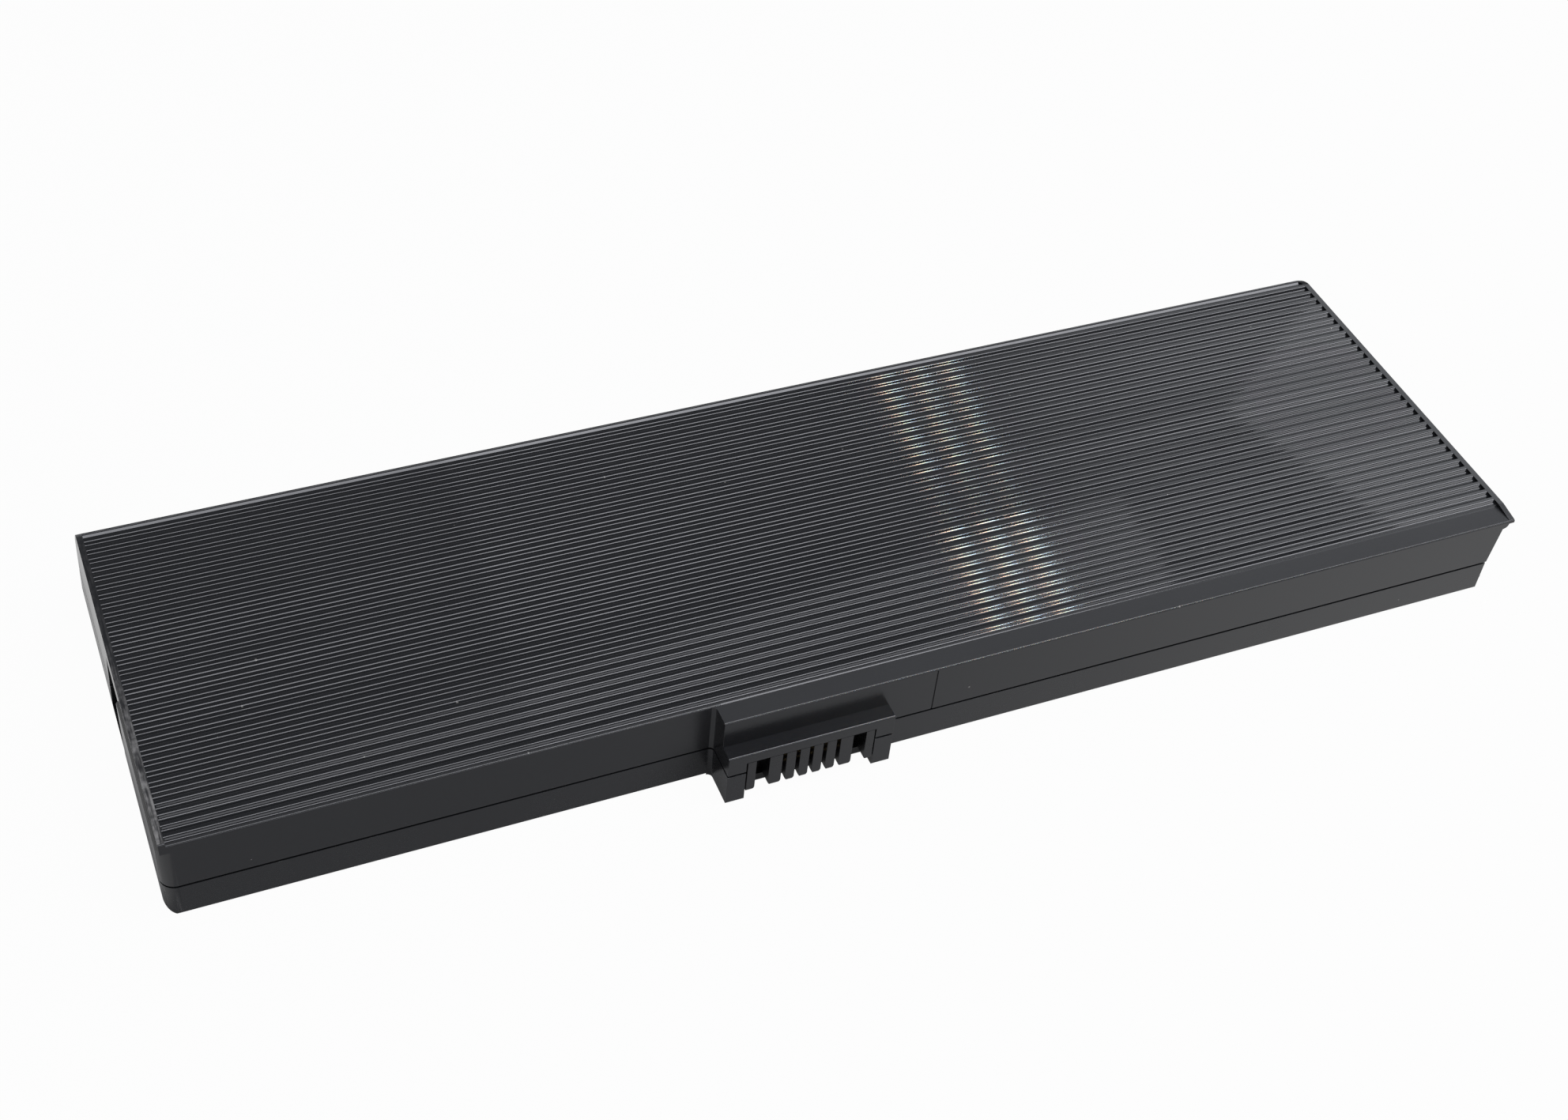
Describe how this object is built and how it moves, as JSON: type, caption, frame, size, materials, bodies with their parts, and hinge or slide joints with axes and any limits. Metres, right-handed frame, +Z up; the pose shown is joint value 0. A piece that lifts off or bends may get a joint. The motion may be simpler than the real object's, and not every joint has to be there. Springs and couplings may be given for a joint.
{
  "type": "laptop battery",
  "caption": "Flat rechargeable laptop battery with a ribbed cover over a shallow tray and a slotted contact block on its stepped front.",
  "frame": {"origin": "middle of the pack's bounding box, on its underside", "axes": "+X along the pack to the end with the overhanging lip, +Y from the contact side to the rounded back edge, +Z up through the ribbed face"},
  "size_m": [0.2792, 0.0906, 0.02],
  "materials": {
    "cover_plastic": "black moulded plastic, smooth ribs with a soft gloss",
    "tray_plastic": "black moulded plastic with a soft gloss",
    "contact_plastic": "black moulded plastic",
    "contact_metal": "plated spring brass",
    "cell_sleeve": "green shrink sleeve over a steel can",
    "nickel": "plain nickel strip",
    "pad_foam": "black foam",
    "liner_sheet": "pale insulating sheet",
    "board_laminate": "green solder mask",
    "sensor_resin": "dark resin",
    "capacitor_ceramic": "tan ceramic",
    "chip_resin": "black moulded resin"
  },
  "bodies": {
    "root": {"capacitors": "capacitor_ceramic", "cell_1": "cell_sleeve", "cell_10": "cell_sleeve", "cell_11": "cell_sleeve", "cell_12": "cell_sleeve", "cell_2": "cell_sleeve", "cell_3": "cell_sleeve", "cell_4": "cell_sleeve", "cell_5": "cell_sleeve", "cell_6": "cell_sleeve", "cell_7": "cell_sleeve", "cell_8": "cell_sleeve", "cell_9": "cell_sleeve", "charge_transistor": "chip_resin", "circuit_board": "board_laminate", "contact_1": "contact_metal", "contact_2": "contact_metal", "contact_3": "contact_metal", "contact_4": "contact_metal", "contact_5": "contact_metal", "contact_block": "contact_plastic", "discharge_transistor": "chip_resin", "end_pad_left": "pad_foam", "end_pad_right": "pad_foam", "floor_liner": "liner_sheet", "fuse": "chip_resin", "gauge_chip": "chip_resin", "lower_tray": "tray_plastic", "negative_plate": "nickel", "negative_strip": "nickel", "positive_plate": "nickel", "positive_strip": "nickel", "protection_chip": "chip_resin", "sense_resistor": "chip_resin", "sense_strip_1": "nickel", "sense_strip_2": "nickel", "sense_strip_3": "nickel", "series_plate_1": "nickel", "series_plate_2": "nickel", "series_plate_3": "nickel", "temperature_sensor": "sensor_resin", "upper_cover": "cover_plastic"}
  },
  "joints": []
}
